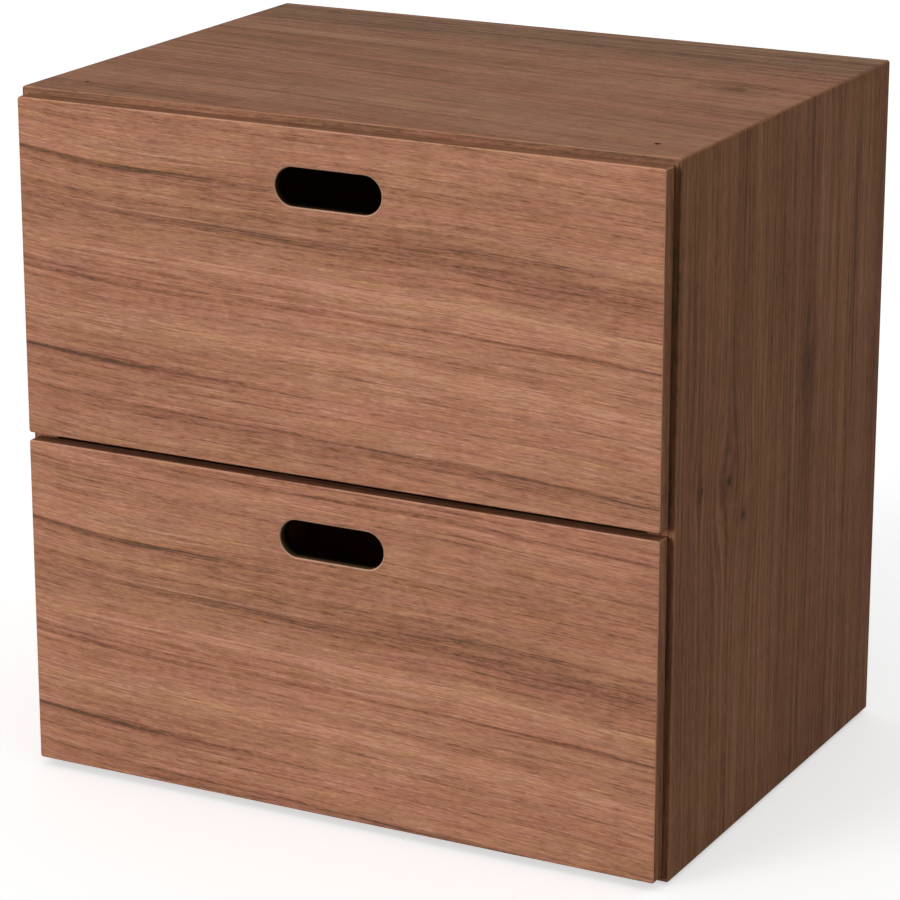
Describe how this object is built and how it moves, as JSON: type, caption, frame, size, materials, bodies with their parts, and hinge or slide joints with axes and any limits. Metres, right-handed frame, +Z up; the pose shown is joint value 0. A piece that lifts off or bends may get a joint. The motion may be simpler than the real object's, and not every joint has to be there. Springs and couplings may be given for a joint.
{
  "type": "stacking chest of drawers",
  "caption": "Small box-shaped stacking chest in walnut veneer: a mitred carcass with overlay drawer fronts, each with a rounded finger slot, on wooden side runners.",
  "frame": {"origin": "on the floor, under the middle of the closed chest's outline", "axes": "+X to the right of someone facing the drawers, +Y towards the back (the drawers open along -Y), +Z up"},
  "size_m": [0.37, 0.28, 0.37],
  "materials": {
    "carcass_walnut": "satin oiled veneer",
    "front_walnut": "satin oiled veneer",
    "back_board": "matt veneered board",
    "box_wood": "bare planed softwood",
    "bottom_ply": "bare sanded plywood",
    "runner_wood": "waxed hardwood",
    "spline_wood": "bare hardwood",
    "screw_steel": "zinc plated",
    "glide_plastic": "matt brown"
  },
  "bodies": {
    "carcass": {"top_panel": "carcass_walnut", "bottom_panel": "carcass_walnut", "left_side_panel": "carcass_walnut", "right_side_panel": "carcass_walnut", "back_panel": "back_board", "top_left_spline": "spline_wood", "top_right_spline": "spline_wood", "bottom_left_spline": "spline_wood", "bottom_right_spline": "spline_wood", "upper_left_runner": "runner_wood", "upper_right_runner": "runner_wood", "lower_left_runner": "runner_wood", "lower_right_runner": "runner_wood", "left_runner_screws": "screw_steel", "right_runner_screws": "screw_steel", "floor_glides": "glide_plastic"},
    "upper_drawer": {"upper_drawer_front": "front_walnut", "upper_box_front": "box_wood", "upper_box_left_side": "box_wood", "upper_box_right_side": "box_wood", "upper_box_back": "box_wood", "upper_drawer_bottom": "bottom_ply", "upper_front_screws": "screw_steel"},
    "lower_drawer": {"lower_drawer_front": "front_walnut", "lower_box_front": "box_wood", "lower_box_left_side": "box_wood", "lower_box_right_side": "box_wood", "lower_box_back": "box_wood", "lower_drawer_bottom": "bottom_ply", "lower_front_screws": "screw_steel"}
  },
  "joints": [
    {"name": "upper_drawer_slide", "type": "slide", "parent": "carcass", "child": "upper_drawer", "axis": [0, -1, 0], "range_m": [0, 0.185]},
    {"name": "lower_drawer_slide", "type": "slide", "parent": "carcass", "child": "lower_drawer", "axis": [0, -1, 0], "range_m": [0, 0.185]}
  ]
}
